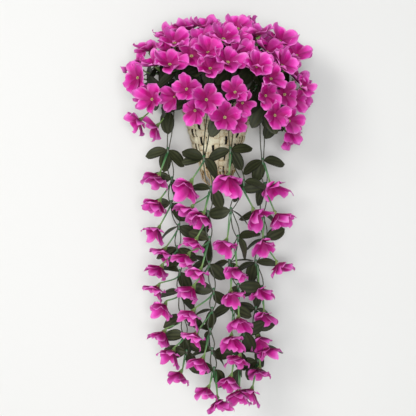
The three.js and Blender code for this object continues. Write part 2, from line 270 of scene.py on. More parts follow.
def noiseNode(tree, vector, scale, detail, roughness=0.5, distortion=0.0):
    inputs = {"Vector": vector, "Scale": scale, "Detail": detail, "Roughness": roughness,
              "Distortion": distortion}
    return addNode(tree, "ShaderNodeTexNoise", inputs).outputs["Fac"]


def newGroup(name, inputs, outputs):
    # inputs are numbers with a start value, except the vector; outputs are numbers
    group = bpy.data.node_groups.new(name, "ShaderNodeTree")
    group.interface.new_socket("Vector", in_out="INPUT", socket_type="NodeSocketVector")
    for label, value in inputs.items():
        socket = group.interface.new_socket(label, in_out="INPUT", socket_type="NodeSocketFloat")
        socket.default_value = value
    for label in outputs:
        group.interface.new_socket(label, in_out="OUTPUT", socket_type="NodeSocketFloat")
    return group, group.nodes.new("NodeGroupInput").outputs, group.nodes.new("NodeGroupOutput").inputs


def makeThreadGroup():
    # crossed threads of a plain-woven cloth, as a height
    group, given, out = newGroup("clothThreads", {"Threads": 60.0}, ["Height"])
    waves = [waveNode(group, given["Vector"], axis, given["Threads"], 1.2) for axis in ("X", "Y")]
    group.links.new(mathNode(group, "MAXIMUM", *waves), out["Height"])
    return group


def makeBlotchGroup():
    # soft uneven dye or ageing: a mask from 0 to 1
    group, given, out = newGroup("softBlotches", {"Scale": 30.0, "Contrast": 1.6}, ["Mask"])
    noise = noiseNode(group, given["Vector"], given["Scale"], 3.0, 0.55)
    stretched = scaled(group, mathNode(group, "SUBTRACT", noise, 0.5), given["Contrast"])
    group.links.new(mathNode(group, "ADD", stretched, 0.5, clamp=True), out["Mask"])
    return group


def makeFibreGroup():
    # long fibres along the vector's Y axis: a mask for colour and a height
    group, given, out = newGroup("longFibres", {"Across": 40.0, "Along": 3.0}, ["Mask", "Height"])
    across, along = given["Across"], given["Along"]
    scale = addNode(group, "ShaderNodeCombineXYZ", {"X": across, "Y": along, "Z": across}).outputs["Vector"]
    stretched = addNode(group, "ShaderNodeVectorMath", {0: given["Vector"], 1: scale},
                        operation="MULTIPLY").outputs["Vector"]
    group.links.new(noiseNode(group, stretched, 1.0, 2.0), out["Mask"])
    group.links.new(noiseNode(group, stretched, 4.0, 4.0, 0.65), out["Height"])
    return group


threadGroup = makeThreadGroup()
blotchGroup = makeBlotchGroup()
fibreGroup = makeFibreGroup()


def addGroup(tree, group, **inputs):
    return addNode(tree, "ShaderNodeGroup", inputs, node_tree=group).outputs


def addBlotches(tree, place, scale, contrast):
    return addGroup(tree, blotchGroup, Vector=place, Scale=scale, Contrast=contrast)["Mask"]


def surfacePlace(tree):
    # the UV map of a sheet, and the place on the whole object
    uv = addNode(tree, "ShaderNodeUVMap").outputs["UV"]
    return uv, addNode(tree, "ShaderNodeTexCoord").outputs["Object"]


def sheetPlace(tree, uv):
    # across a sheet from 0 to 1, how near its side edges from 0 to 1, and along it
    split = addNode(tree, "ShaderNodeSeparateXYZ", {"Vector": uv}).outputs
    side = mathNode(tree, "ABSOLUTE", mathNode(tree, "SUBTRACT", split["X"], 0.5), 0.0)
    return split["X"], scaled(tree, side, 2.0), split["Y"]


def attributeOf(tree, name):
    return addNode(tree, "ShaderNodeAttribute", attribute_name=name).outputs["Fac"]


def shadeByTint(tree, body, amount, shade):
    # tint 0 darkens a bloom or leaf most toward the shade colour, tint 1 not at all: random tone, and painted
    # shade on the dome's low blooms and inner leaves
    return mixColour(tree, attributeOf(tree, "tint"), mixColour(tree, amount, body, shade), body)


def newMaterial(name, settings):
    material = bpy.data.materials.new(name)
    material.use_nodes = True
    shader = material.node_tree.nodes["Principled BSDF"]
    for label, value in settings.items():
        shader.inputs[label].default_value = value
    return material, material.node_tree, shader


def addSurface(tree, shader, body, height, strength, distance):
    # the colour and the bump, which is so many millimetres deep
    tree.links.new(body, shader.inputs["Base Color"])
    inputs = {"Strength": strength, "Distance": distance * mm, "Height": height}
    bump = addNode(tree, "ShaderNodeBump", inputs)
    tree.links.new(bump.outputs["Normal"], shader.inputs["Normal"])


def clothHeight(tree, uv, threads, pressed, depth):
    # fine threads under a pressed pattern
    weave = scaled(tree, addGroup(tree, threadGroup, Vector=uv, Threads=threads)["Height"], 0.25)
    return mathNode(tree, "ADD", weave, scaled(tree, pressed, depth))


petalColours = {
    "throat": colour(132, 0, 78), "deep": colour(158, 0, 100), "middle": colour(214, 18, 154),
    "outer": colour(246, 96, 210), "rim": colour(255, 158, 232), "shadow": colour(112, 0, 68),
}


def makePetalMaterial():
    material, tree, shader = newMaterial("petalCloth", {
        "Roughness": 0.6, "Specular IOR Level": 0.25, "Sheen Weight": 0.06, "Sheen Roughness": 0.35,
        "Sheen Tint": (1, 0.55, 0.9, 1)})
    uv, place = surfacePlace(tree)
    across, side, along = sheetPlace(tree, uv)
    drift = scaled(tree, mathNode(tree, "SUBTRACT", addBlotches(tree, place, 60.0, 1.8), 0.5), 0.22)
    # darker toward the throat: partly the cloth's own colour, partly painted shade where the petals cup
    body = rampNode(tree, mathNode(tree, "ADD", along, drift, clamp=True), [
        (0.0, petalColours["throat"]), (0.22, petalColours["deep"]), (0.4, petalColours["deep"]),
        (0.66, petalColours["middle"]), (0.92, petalColours["outer"])])
    # painted light: one half of each petal is lighter, as if lit on that side of its fold
    paintedLitHalf = scaled(tree, stepMask(tree, across, 0.46, 0.54), along)
    body = mixColour(tree, scaled(tree, paintedLitHalf, 0.4), body, petalColours["outer"])
    # the edges are pale: partly the paler cut edge of the cloth, partly painted highlight where the raised
    # rim catches the light
    edge = mathNode(tree, "MAXIMUM", stepMask(tree, side, 0.66, 0.99), stepMask(tree, along, 0.82, 0.995))
    paleEdgeAndHighlight = scaled(tree, edge, stepMask(tree, along, 0.3, 0.6))
    patchy = mathNode(tree, "ADD", scaled(tree, addBlotches(tree, place, 28.0, 3.0), 0.7), 0.2)
    body = mixColour(tree, scaled(tree, paleEdgeAndHighlight, patchy), body, petalColours["rim"])
    # darkened by the tint: random tone, and painted shade on the dome's low blooms
    body = shadeByTint(tree, body, 0.45, petalColours["shadow"])
    # pressed veins fan out from the throat
    veins = waveNode(tree, uv, "X", 2.4, 1.5)
    addSurface(tree, shader, body, clothHeight(tree, uv, 24.0, veins, 0.8), 0.5, 0.35)
    return material


leafColours = {
    "dark": colour(22, 26, 17), "body": colour(50, 56, 32), "band": colour(90, 94, 60),
    "edge": colour(19, 23, 14), "tip": colour(64, 66, 40),
}


def makeLeafMaterial():
    material, tree, shader = newMaterial("leafCloth", {"Roughness": 0.52, "Specular IOR Level": 0.3})
    uv, place = surfacePlace(tree)
    _, side, along = sheetPlace(tree, uv)
    blotch = addBlotches(tree, place, 45.0, 2.2)
    # lengthwise pressed bands, paler on their backs
    bands = waveNode(tree, uv, "X", 0.95, 0.6, detail=0.0, offset=1.2)
    body = mixColour(tree, scaled(tree, bands, blotch), leafColours["body"], leafColours["band"])
    body = mixColour(tree, scaled(tree, blotch, 0.35), body, leafColours["dark"])
    body = mixColour(tree, scaled(tree, stepMask(tree, side, 0.8, 0.97), 0.85), body, leafColours["edge"])
    body = mixColour(tree, scaled(tree, stepMask(tree, along, 0.8, 1.0), 0.4), body, leafColours["tip"])
    # painted shade: leaves with a low tint, most of all those inside the dome, are darkened toward the dark
    # green
    body = shadeByTint(tree, body, 0.8, leafColours["dark"])
    veins = waveNode(tree, uv, "DIAGONAL", 5.0, 3.0)
    addSurface(tree, shader, body, clothHeight(tree, uv, 26.0, veins, 0.5), 0.45, 0.3)
    return material


# from the old dark stems through green ones to the pale heart of a bloom
stemStops = [
    (0.0, colour(60, 62, 42)), (0.12, colour(54, 68, 42)), (0.3, colour(44, 108, 60)),
    (0.5, colour(98, 152, 92)), (0.7, colour(150, 176, 98)), (0.85, colour(190, 186, 120)),
    (1.0, colour(140, 128, 58)),
]


def makeStemMaterial():
    material, tree, shader = newMaterial("mouldedStem", {"Roughness": 0.42})
    place = surfacePlace(tree)[1]
    body = rampNode(tree, attributeOf(tree, "ripe"), stemStops)
    soiled = scaled(tree, addBlotches(tree, place, 90.0, 2.0), 0.3)
    body = mixColour(tree, soiled, body, colour(40, 52, 30), "MULTIPLY")
    fibres = addGroup(tree, fibreGroup, Vector=place, Across=500.0, Along=500.0)["Height"]
    addSurface(tree, shader, body, fibres, 0.35, 0.2)
    return material


splintColours = {
    "light": colour(255, 252, 226), "body": colour(250, 243, 206), "streak": colour(214, 200, 152),
    "inner": colour(20, 15, 10), "toneAndShade": colour(196, 160, 104), "creaseShade": colour(206, 186, 144),
    "straw": colour(232, 204, 142), "strawDark": colour(168, 130, 76), "strawLight": colour(255, 246, 214),
}


def makeSplintMaterial(name, light, body, streak):
    light, body, streak = (splintColours[tone] for tone in (light, body, streak))
    material, tree, shader = newMaterial(name, {"Roughness": 0.62})
    uv, place = surfacePlace(tree)
    fibres = addGroup(tree, fibreGroup, Vector=uv, Across=9.0, Along=60.0)
    grain = rampNode(tree, fibres["Mask"], [(0.2, streak), (0.38, body), (0.54, light)])
    toned = mixColour(tree, scaled(tree, addBlotches(tree, place, 40.0, 2.2), 0.5), grain, light)
    # painted shade by the deep attribute: brown toward a splint's edges and near black where it dips behind
    # the next; some cells and ends are also browned at random
    shade = rampNode(tree, attributeOf(tree, "deep"), [
        (0.0, white), (0.3, splintColours["toneAndShade"]), (1.0, splintColours["inner"])])
    toned = mixColour(tree, 1.0, toned, shade, "MULTIPLY")
    # dry creases run slanting over the fibres, bumped, with painted shade in their hollows
    crease = noiseNode(tree, place, 130.0, 3.0, 0.6, 1.8)
    creaseShade = rampNode(tree, crease, [(0.3, splintColours["creaseShade"]), (0.46, white)])
    toned = mixColour(tree, 1.0, toned, creaseShade, "MULTIPLY")
    height = mathNode(tree, "ADD", scaled(tree, fibres["Height"], 0.3), crease)
    addSurface(tree, shader, toned, height, 0.8, 1.6)
    return material


def makePlainGrain(name, light, dark, scale, roughness, bump):
    # a mottled matt finish on Object coordinates
    material, tree, shader = newMaterial(name, {"Roughness": roughness})
    place = surfacePlace(tree)[1]
    body = mixColour(tree, addBlotches(tree, place, scale, 2.6), colour(*dark), colour(*light))
    addSurface(tree, shader, body, noiseNode(tree, place, scale * 9, 4.0), 0.7, bump)
    return material


petalCloth = makePetalMaterial()
leafCloth = makeLeafMaterial()
mouldedStem = makeStemMaterial()
splintWood = makeSplintMaterial("splintWood", "light", "body", "streak")
strawSplint = makeSplintMaterial("strawSplint", "strawLight", "straw", "strawDark")
linerShade = makePlainGrain("linerShade", (22, 17, 12), (10, 8, 6), 60.0, 0.9, 0.5)
hoopWood = makePlainGrain("hoopWood", (186, 156, 104), (126, 96, 58), 80.0, 0.7, 0.4)
raffia = makePlainGrain("raffia", (196, 172, 118), (136, 110, 66), 160.0, 0.8, 0.4)
twineFibre = makePlainGrain("twineFibre", (170, 136, 88), (104, 78, 46), 220.0, 0.9, 0.4)
foamCrumb = makePlainGrain("foamCrumb", (74, 86, 58), (44, 52, 34), 110.0, 0.95, 0.8)
mossTuft = makePlainGrain("mossTuft", (84, 84, 48), (36, 40, 24), 130.0, 0.95, 1.0)
print("materials made")


basket = {
    "rimZ": -50, "tipZ": -216, "rimHalf": 74, "rimReach": 106, "tipHalf": 17, "tipReach": 25, "taper": 0.82,
    "backGap": 2.2, "backRelief": 0.4, "pairs": 12, "phase": -0.08, "rows": 9, "rowHeight": 14.7,
    "splintThickness": 0.7, "weaverHeight": 12.6, "weaverOver": 2.2, "weaverUnder": -3.0, "weaverBulge": 1.5,
    "stakeOver": 2.2, "stakeUnder": -0.8, "stakeBulge": 0.5, "stakeHalfWidth": 0.19, "stakeOffset": 0.276,
    "sideNarrow": 0.52, "crinkle": 0.45, "cellToneAndShade": 0.1, "seam": 0.05,
    "dip": 11, "dipTop": -62, "dipSpan": 34, "dipLow": 8, "dipLowSpan": 40,
}


def basketSize(z):
    share = max((z - basket["tipZ"]) / (basket["rimZ"] - basket["tipZ"]), 0) ** basket["taper"]
    half = mix(basket["tipHalf"], basket["rimHalf"], share)
    return half, mix(basket["tipReach"], basket["rimReach"], share)


def makeLoopTable(steps=90):
    # how far round the D-shaped outline each turn of its front half ellipse lies
    table = [(0.0, -math.pi / 2)]
    half, reach = basket["rimHalf"], basket["rimReach"]
    last = Vector((-half, 0))
    length = 0
    for i in range(1, steps + 1):
        turn = math.pi * (i / steps - 0.5)
        here = Vector((half * math.sin(turn), -reach * math.cos(turn)))
        length += (here - last).length
        last = here
        table.append((length, turn))
    whole = length + 2 * half
    return [(spot / whole, turn) for spot, turn in table], length / whole


loopTable, frontShare = makeLoopTable()


def frontDip(z):
    # how far the rows sag at the front, level at the rim and at the tip
    top = fade(basket["dipTop"] - z, 0, basket["dipSpan"])
    return basket["dip"] * top * fade(z - basket["tipZ"], basket["dipLow"], basket["dipLowSpan"])


def weavePoint(share, z, lift):
    # a point round the basket's outline at a height, lifted off its surface
    half, reach = basketSize(z)
    share %= 1
    if share >= frontShare:
        x = half * (1 - 2 * (share - frontShare) / (1 - frontShare))
        return Vector((x, lift * basket["backRelief"] - basket["backGap"], z))
    place = 1
    while loopTable[place][0] < share:
        place += 1
    (low, turnLow), (high, turnHigh) = loopTable[place - 1], loopTable[place]
    turn = mix(turnLow, turnHigh, (share - low) / (high - low))
    outward = Vector((math.sin(turn) / half, -math.cos(turn) / reach, 0)).normalized()
    flat = Vector((half * math.sin(turn), -basket["backGap"] - (reach - basket["backGap"]) * math.cos(turn),
                   z - frontDip(z) * math.cos(turn)))
    return flat + outward * lift


def softSquare(angle, softness=0.12):
    wave = math.cos(angle)
    return wave / math.sqrt(wave * wave + softness) * math.sqrt(1 + softness)


def unevenness(angle):
    return 0.5 + 0.5 * math.sin(angle)


def crinkle(a, b, seed):
    # fine uneven creases of dry splint
    waves = math.sin(a * 61 + seed * 3.1) * math.sin(b * 23 + seed) + math.sin(a * 143 + b * 37 + seed)
    return basket["crinkle"] * waves


def buildStrip(name, columns, rows, rule, thickness=basket["splintThickness"], closed=False):
    # one splint; the rule gives a point of it and how deep in painted shade and brown tone the point lies
    strip = addGrid(name, columns, rows)
    deep = []

    def place(across, along):
        point, depth = rule(across, along)
        deep.append(min(depth, 1))
        return point

    shape(strip, place)
    paint(strip, "deep", deep)
    if closed:
        cleanUp(strip, basket["seam"])
    thicken(strip, thickness)
    return strip


def buildWeavers():
    weavers = []
    for row in range(basket["rows"]):
        middle = basket["rimZ"] - basket["rowHeight"] * (row + 0.5)

        def rule(across, along):
            share = (across + 1) / 2
            phase = share * basket["pairs"] + basket["phase"]
            over = softSquare(math.pi * (phase - 0.5 + row))
            lift = mix(basket["weaverOver"], basket["weaverUnder"], (1 + over) / 2)
            z = middle + basket["weaverHeight"] * (along - 0.5)
            z += math.sin(share * 53 + row * 2 + 2.6 * along)
            z += 0.6 * math.sin(share * 131 + row + 3.0 * along)
            bulge = basket["weaverBulge"] * (1 - (2 * along - 1) ** 2)
            # painted shade: brown at the weaver's edges and near black where it runs under the stakes; whole
            # cells are browned by a random amount, as tone and as painted shade for their tilt to the light
            edge = max(abs(2 * along - 1) - 0.45, 0) * unevenness(share * 67 + row * 1.3)
            toneAndShade = basket["cellToneAndShade"] * draw(row + 3, math.floor((phase + row) / 2 + 0.25))
            point = weavePoint(share, z, lift + bulge + crinkle(share * 8, along, row))
            return point, max(over * 3 - 1.6, 0) + 0.3 * edge + toneAndShade

        weavers.append(buildStrip(f"weaver{row}", basket["pairs"] * 10, 4, rule, closed=True))
    finishPiece(join(weavers, "basket_weavers"), splintWood, ["basket"])


def buildStakes():
    stakes = []
    lowest = basket["rimZ"] - basket["rowHeight"] * basket["rows"] + 3
    for number in range(2 * basket["pairs"]):
        pair, side = number // 2, 2 * (number % 2) - 1
        # stakes are narrower at the sides, where they crowd round the bend
        roundShare = ((pair + 0.5 - basket["phase"]) / basket["pairs"]) % 1 / frontShare
        sideness = abs(math.sin(math.pi * (roundShare - 0.5))) if roundShare < 1 else 0
        halfWidth = basket["stakeHalfWidth"] * (1 - basket["sideNarrow"] * sideness ** 2)
        offset = basket["stakeOffset"] + (basket["stakeHalfWidth"] - halfWidth) * 0.8

        def rule(across, along):
            z = mix(lowest, basket["rimZ"] + 0.2, along)
            row = (basket["rimZ"] - z) / basket["rowHeight"]
            over = softSquare(math.pi * (pair + row - 0.5))
            lift = mix(basket["stakeUnder"], basket["stakeOver"], (1 + over) / 2)
            phase = pair + 0.5 + side * offset + across * halfWidth
            phase += 0.012 * math.sin(along * 9 + number * 2.3)
            bulge = basket["stakeBulge"] * (1 - across * across)
            # painted shade: brown at the stake's sides and where it dips under the weaver; whole cells are
            # browned by a random amount, as tone and as painted shade for their tilt to the light
            edge = across ** 4 * unevenness(along * 31 + number * 2)
            toneAndShade = basket["cellToneAndShade"] * draw(number + 17, math.floor((pair + row) / 2))
            point = weavePoint((phase - basket["phase"]) / basket["pairs"], z,
                               lift + bulge + crinkle(across, along * 6, number))
            return point, max(-0.7 - over, 0) + 0.12 * edge + toneAndShade

        stakes.append(buildStrip(f"stake{number}", 4, basket["rows"] * 6, rule))
    finishPiece(join(stakes, "basket_stakes"), splintWood, ["basket"])


liner = {"top": -52, "bottom": -182, "depth": -4.2, "thickness": 0.6}


def buildLiner():
    # a near-black sheet as painted shade for the inside, seen through the slits, with its floor closed
    sheet = addGrid("basket_liner", 72, 8)
    shape(sheet, lambda across, along: weavePoint(
        (across + 1) / 2, mix(liner["bottom"], liner["top"], along), liner["depth"]))
    cleanUp(sheet, basket["seam"])
    bpy.ops.object.mode_set(mode="EDIT")
    bpy.ops.mesh.select_all(action="DESELECT")
    bpy.ops.mesh.select_mode(type="VERT")
    bpy.ops.object.mode_set(mode="OBJECT")
    for vertex in sheet.data.vertices:
        vertex.select = vertex.co.z < (liner["bottom"] + 0.1) * mm
    bpy.ops.object.mode_set(mode="EDIT")
    bpy.ops.mesh.edge_face_add()
    bpy.ops.object.mode_set(mode="OBJECT")
    cleanUp(sheet, basket["seam"])
    thicken(sheet, liner["thickness"], -1)
    finishPiece(sheet, linerShade, ["basket"])


tipEnds = {"top": -170, "bottom": -220, "halfWidth": 0.17, "splay": 12.0, "seed": 51, "thickness": 0.6,
           "lift": 1.6, "stagger": 1.4, "backLift": 0.8}


def buildTipEnds():
    # the loose splint ends below the last row, gathered and bent at the tip
    ends = []
    seed = tipEnds["seed"]
    for number in range(2 * basket["pairs"]):
        lowest = tipEnds["bottom"] + abs(swing(seed, number, 14))
        lean = 0.8 + swing(seed, number + 40, 0.9)
        splay = abs(swing(seed, number + 80, tipEnds["splay"]))

        def rule(across, along):
            drop = 1 - along
            narrow = tipEnds["halfWidth"] * (1 - 0.55 * drop ** 2)
            phase = number / 2 + 0.25 + lean * drop + across * narrow
            share = (phase - basket["phase"]) / basket["pairs"]
            lift = tipEnds["lift"] + splay * math.sin(2.4 * drop) * drop - tipEnds["stagger"] * (number % 2)
            if share % 1 >= frontShare:
                lift = min(lift, tipEnds["backLift"])
            lift += 1.2 * (1 - across * across) + 1.6 * math.sin(along * 11 + number * 2.7)
            z = mix(lowest, tipEnds["top"], along)
            point = weavePoint(share, z, lift + crinkle(across, along * 3, number))
            # brown tone at random per end, and painted shade along its edges
            return point, 0.16 * draw(seed, number + 120) + 0.6 * across ** 6

        ends.append(buildStrip(f"end{number}", 4, 12, rule, tipEnds["thickness"]))
    finishPiece(join(ends, "basket_tip_ends"), strawSplint, ["basket"])


buildWeavers()
buildStakes()
buildLiner()
buildTipEnds()
print("basket woven")


for node, material in (("rim_hoop", hoopWood), ("foam_block", foamCrumb)):
    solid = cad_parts[node]
    solid.data.materials.clear()
    solid.data.materials.append(material)

rim = {"low": -49.65, "high": -41.65, "width": 10, "lashings": 46, "lashRadius": 0.9, "slant": 0.010}


def buildLashing():
    # raffia wound round the hoop in slanting turns
    routes = []
    reach = rim["lashRadius"]
    inner, top, bottom = -rim["width"] - reach, rim["high"] + reach, rim["low"] - 0.2
    corners = [(reach, bottom), (reach, top), (inner, top), (inner, bottom), (reach, bottom)]
    for number in range(rim["lashings"]):
        start = (number + 0.5) / rim["lashings"]
        if start >= frontShare:
            continue
        route = []
        for step, (lift, z) in enumerate(corners):
            point = weavePoint(start + rim["slant"] * step / 4, basket["rimZ"], lift)
            route.append((Vector((point.x, point.y, z)), rim["lashRadius"], 0))
        routes.append(route)
    finishPiece(addTubes("rim_lashing", routes), raffia)


moss = {"columns": 60, "rings": 14, "height": 5.0, "level": -60, "middle": -44, "lift": 0.8, "thickness": 0.8,
        "edge": -5.0}


def buildMoss():
    # a crumbly cover over the foam
    cover = addGrid("moss_cover", moss["columns"], moss["rings"])
    middle = Vector((0, moss["middle"], moss["level"]))

    def rule(across, along):
        edge = weavePoint((across + 1) / 2, moss["level"], moss["edge"])
        spot = middle.lerp(edge, max(along, 0.02))
        bump = math.sin(spot.x * 0.9 + 2 * math.sin(spot.y * 0.5)) * math.sin(spot.y * 1.1 + spot.x * 0.3)
        spot.z += moss["lift"] + moss["height"] * abs(bump) * min(1, (1 - along) * 6)
        return spot

    shape(cover, rule)
    cleanUp(cover, basket["seam"])
    thicken(cover, moss["thickness"], -1)
    finishPiece(cover, mossTuft)


loop = {
    "legX": 16, "legY": -6.6, "topY": -1.9, "shoulderZ": -14, "topZ": 2.0, "lowZ": -53, "straightZ": -40,
    "plies": 2, "plyRadius": 0.82, "twist": 0.8, "pitch": 5.5, "knotZ": -53, "knotTurns": 3,
    "knotRadius": 0.95,
}


def buildHangingLoop():
    def leg(side):
        x = side * loop["legX"]
        return [Vector((x, loop["legY"], loop["lowZ"])), Vector((x, loop["legY"], loop["straightZ"])),
                Vector((x * 0.72, (loop["legY"] + loop["topY"]) / 2, loop["shoulderZ"]))]

    line = smoothRoute([*leg(-1), Vector((0, loop["topY"], loop["topZ"])), *reversed(leg(1))], 24)
    routes = []
    for ply in range(loop["plies"]):
        route = []
        travelled = 0
        for i, point in enumerate(line):
            along = (line[min(i + 1, len(line) - 1)] - line[max(i - 1, 0)]).normalized()
            travelled += (point - line[i - 1]).length if i else 0
            side = along.cross(front).normalized()
            turn = 2 * math.pi * travelled / loop["pitch"] + math.pi * ply
            spot = point + (side * math.cos(turn) + along.cross(side) * math.sin(turn)) * loop["twist"]
            route.append((spot, loop["plyRadius"], 0))
        routes.append(route)
    for side in (-1, 1):
        # three turns of an overhand knot under the hoop
        route = []
        steps = 10 * loop["knotTurns"]
        for i in range(steps + 1):
            turn = 2 * math.pi * i / 10
            wide = 1.9 + 0.5 * math.sin(turn * 0.5)
            spot = Vector((side * loop["legX"] + wide * math.cos(turn), loop["legY"] + wide * math.sin(turn),
                           loop["knotZ"] + 2.6 - 5.0 * i / steps))
            route.append((spot, loop["knotRadius"], 0))
        routes.append(route)
    finishPiece(addTubes("hanging_twine", routes), twineFibre, ["hanging_loop"])


buildLashing()
buildMoss()
buildHangingLoop()
print("rim, moss and hanging loop made")


petal = {"across": 10, "along": 10, "neck": 0.17, "widest": 0.62, "narrowing": 0.88, "tipRound": 0.14,
         "thickness": 0.45, "count": 5, "edgeWave": 0.022, "creaseWidth": 0.22, "curlFrom": 0.6, "curl": 2.5,
         "bend": 0.35, "level": 0.4, "overlap": 0.35}
openBloom = {"radius": 27.5, "halfWidth": 0.43, "reach": 1.0, "rise": 0.60, "settle": 0.20, "edgeLift": 0.24,
             "crease": 0.11, "lean": 0.16, "ruffle": 0.04, "spread": 10, "wildness": 0.26}
broadBloom = dict(openBloom, halfWidth=0.49, rise=0.64, settle=0.22, edgeLift=0.15, wildness=0.19)
droopBloom = {"radius": 27.0, "halfWidth": 0.58, "reach": 0.92, "rise": 0.96, "settle": 0.38,
              "edgeLift": 0.10, "crease": 0.11, "lean": 0.18, "ruffle": 0.08, "spread": 13, "wildness": 0.24}


def buildPetal(form, seed, k):
    sheet = addGrid("petal", petal["across"], petal["along"])
    radius = form["radius"] * (1 + swing(seed, k, 0.05))
    rise = form["rise"] * (1 + swing(seed, k + 10, form["wildness"] * 1.6))
    reach = form["reach"] * (1 + swing(seed, k + 20, form["wildness"] * 0.5))
    lean = form["lean"] * (1 + swing(seed, k + 30, 0.8))
    tipCurl = swing(seed, k + 40, form["wildness"])
    phase = 6.28 * draw(seed, k + 50)
    bend = swing(seed, k + 60, form["wildness"])
    turn = math.radians(72 * k + swing(seed, k + 70, form["spread"]))

    def rule(u, v):
        if v < petal["widest"]:
            width = mix(petal["neck"], 1, math.sin(math.pi / 2 * v / petal["widest"]))
        else:
            beyond = (v - petal["widest"]) / (1 - petal["widest"])
            width = math.sqrt(1 - petal["narrowing"] * beyond ** 2)
        x = form["halfWidth"] * radius * width * u + petal["bend"] * bend * radius * v * v
        y = radius * (v - petal["tipRound"] * abs(u) ** 2.4 * v ** 6)
        y += petal["edgeWave"] * radius * math.sin(3.2 * u + phase) * v ** 4
        lift = rise * v - form["settle"] * v * v
        lift += form["edgeLift"] * u * u * v * (1.25 - 0.55 * v)
        crease = form["crease"] * math.exp(-(u / petal["creaseWidth"]) ** 2)
        lift -= crease * math.sin(math.pi * min(v, 1) * 0.85)
        lift += lean * u * v + form["ruffle"] * math.sin(4.4 * u + phase) * v * v
        lift += tipCurl * max(v - petal["curlFrom"], 0) ** 2 * petal["curl"]
        away = y * reach
        return Vector((away * math.cos(turn) - x * math.sin(turn), away * math.sin(turn) + x * math.cos(turn),
                       radius * lift + petal["level"] + petal["overlap"] * (k % 2)))

    shape(sheet, rule)
    return sheet


def buildBloomModels(name, form, seed, count):
    models = []
    for i in range(count):
        petals = [buildPetal(form, seed + i, k) for k in range(petal["count"])]
        models.append(join(petals, f"{name}{i}Cloth"))
        thicken(models[i], petal["thickness"])
    return models


heart = {"ringRadius": 2.1, "ringThickness": 0.8, "ray": 1.25, "pitRadius": 1.25, "pitFlatness": 0.6,
         "level": 1.5, "calyxWide": 3.4, "calyxNarrow": 1.6, "calyxLength": 8.0, "sepalOut": 3.4,
         "sepalUp": 1.6, "notch": 2.2}


def onEvenRay(vertex):
    # every second of ten rays round the heart
    return round(math.atan2(vertex.co.y, vertex.co.x) / math.radians(36)) % 2 == 0


def buildHeartModel():
    # a pale rayed ring with an olive pit in front, and a green calyx with sepals behind
    level = heart["level"] * mm
    ring = addPrimitive(bpy.ops.mesh.primitive_torus_add, major_segments=10, minor_segments=5,
                        major_radius=heart["ringRadius"] * mm, minor_radius=heart["ringThickness"] * mm,
                        location=(0, 0, level))
    for vertex in ring.data.vertices:
        if onEvenRay(vertex) and vertex.co.xy.length > heart["ringRadius"] * mm:
            vertex.co.xy *= heart["ray"]
    paint(ring, "ripe", 0.85)
    pit = addPrimitive(bpy.ops.mesh.primitive_ico_sphere_add, subdivisions=1, radius=heart["pitRadius"] * mm,
                       location=(0, 0, level))
    for vertex in pit.data.vertices:
        vertex.co.z = mix(level, vertex.co.z, heart["pitFlatness"])
    paint(pit, "ripe", 1.0)
    calyx = addPrimitive(bpy.ops.mesh.primitive_cone_add, vertices=10, radius1=heart["calyxNarrow"] * mm,
                         radius2=heart["calyxWide"] * mm, depth=heart["calyxLength"] * mm,
                         location=(0, 0, -heart["calyxLength"] / 2 * mm))
    for vertex in calyx.data.vertices:
        if vertex.co.z > -1 * mm:
            if onEvenRay(vertex):
                vertex.co.z -= heart["notch"] * mm
            else:
                vertex.co.xy *= 1 + heart["sepalOut"] / heart["calyxWide"]
                vertex.co.z += heart["sepalUp"] * mm
    paint(calyx, "ripe", [0.72 if vertex.co.z > -2 * mm else 0.6 for vertex in calyx.data.vertices])
    return join([ring, pit, calyx], "bloomHeart")


openModels = buildBloomModels("open", openBloom, 11, 8)
broadModels = buildBloomModels("broad", broadBloom, 11, 8)
droopModels = buildBloomModels("droop", droopBloom, 61, 6)
heartModel = buildHeartModel()
print("bloom forms modelled")


leaf = {"length": 47, "width": 26, "across": 8, "along": 10, "thickness": 0.5, "fold": 3.0, "ripple": 0.7,
        "droop": 6.0, "widest": 0.45, "edgeWave": 0.8, "forms": 5, "wallGap": 19}


def buildLeafModel(seed):
    sheet = addGrid(f"leaf{seed}", leaf["across"], leaf["along"])
    droop = leaf["droop"] * (1 + swing(seed, 1, 0.7))
    fold = leaf["fold"] * (1 + swing(seed, 2, 0.5))
    twist = swing(seed, 3, 0.25)
    sway = swing(seed, 4, 3.0)
    phase = 6.28 * draw(seed, 5)

    def rule(across, along):
        if along < leaf["widest"]:
            wide = (1 - (1 - along / leaf["widest"]) ** 2) ** 0.75
        else:
            wide = (1 - ((along - leaf["widest"]) / (1 - leaf["widest"])) ** 2.4) ** 0.6
        y = leaf["width"] / 2 * max(wide, 0.06) * across + sway * along * along
        z = fold * abs(across) ** 1.4 * math.sin(math.pi * min(along + 0.1, 1))
        z += leaf["ripple"] * math.cos(across * 8.5) * math.sin(math.pi * along)
        z += leaf["edgeWave"] * math.sin(along * 7 + phase) * abs(across)
        z += twist * y * along - droop * along * along
        return Vector((leaf["length"] * along, y, z))

    shape(sheet, rule)
    thicken(sheet, leaf["thickness"])
    return sheet


leafModels = [buildLeafModel(31 + i) for i in range(leaf["forms"])]
print("leaf forms modelled")


def placeLeaf(root, along, upward, seed, pick, tint, size=1.0):
    # a leaf that would poke into the wall is turned along it
    back = (-leaf["wallGap"] - root.y) / (leaf["length"] * size)
    if along.y > back:
        along = Vector((along.x, back, along.z)).normalized()
    sideways = along.cross(upward).normalized()
    normal = sideways.cross(along).normalized()
    model = leafModels[int(draw(seed, pick + 500) * len(leafModels))]
    copy = placeCopy(model, poseMatrix(root, along, sideways * -1, normal) @ Matrix.Scale(size, 4), tint)
    # what still pokes in is moved clear of it
    behind = max(vertex.co.y for vertex in copy.data.vertices) + leaf["wallGap"] / 10 * mm
    if behind > 0:
        copy.data.transform(Matrix.Translation(front * behind))
    return copy


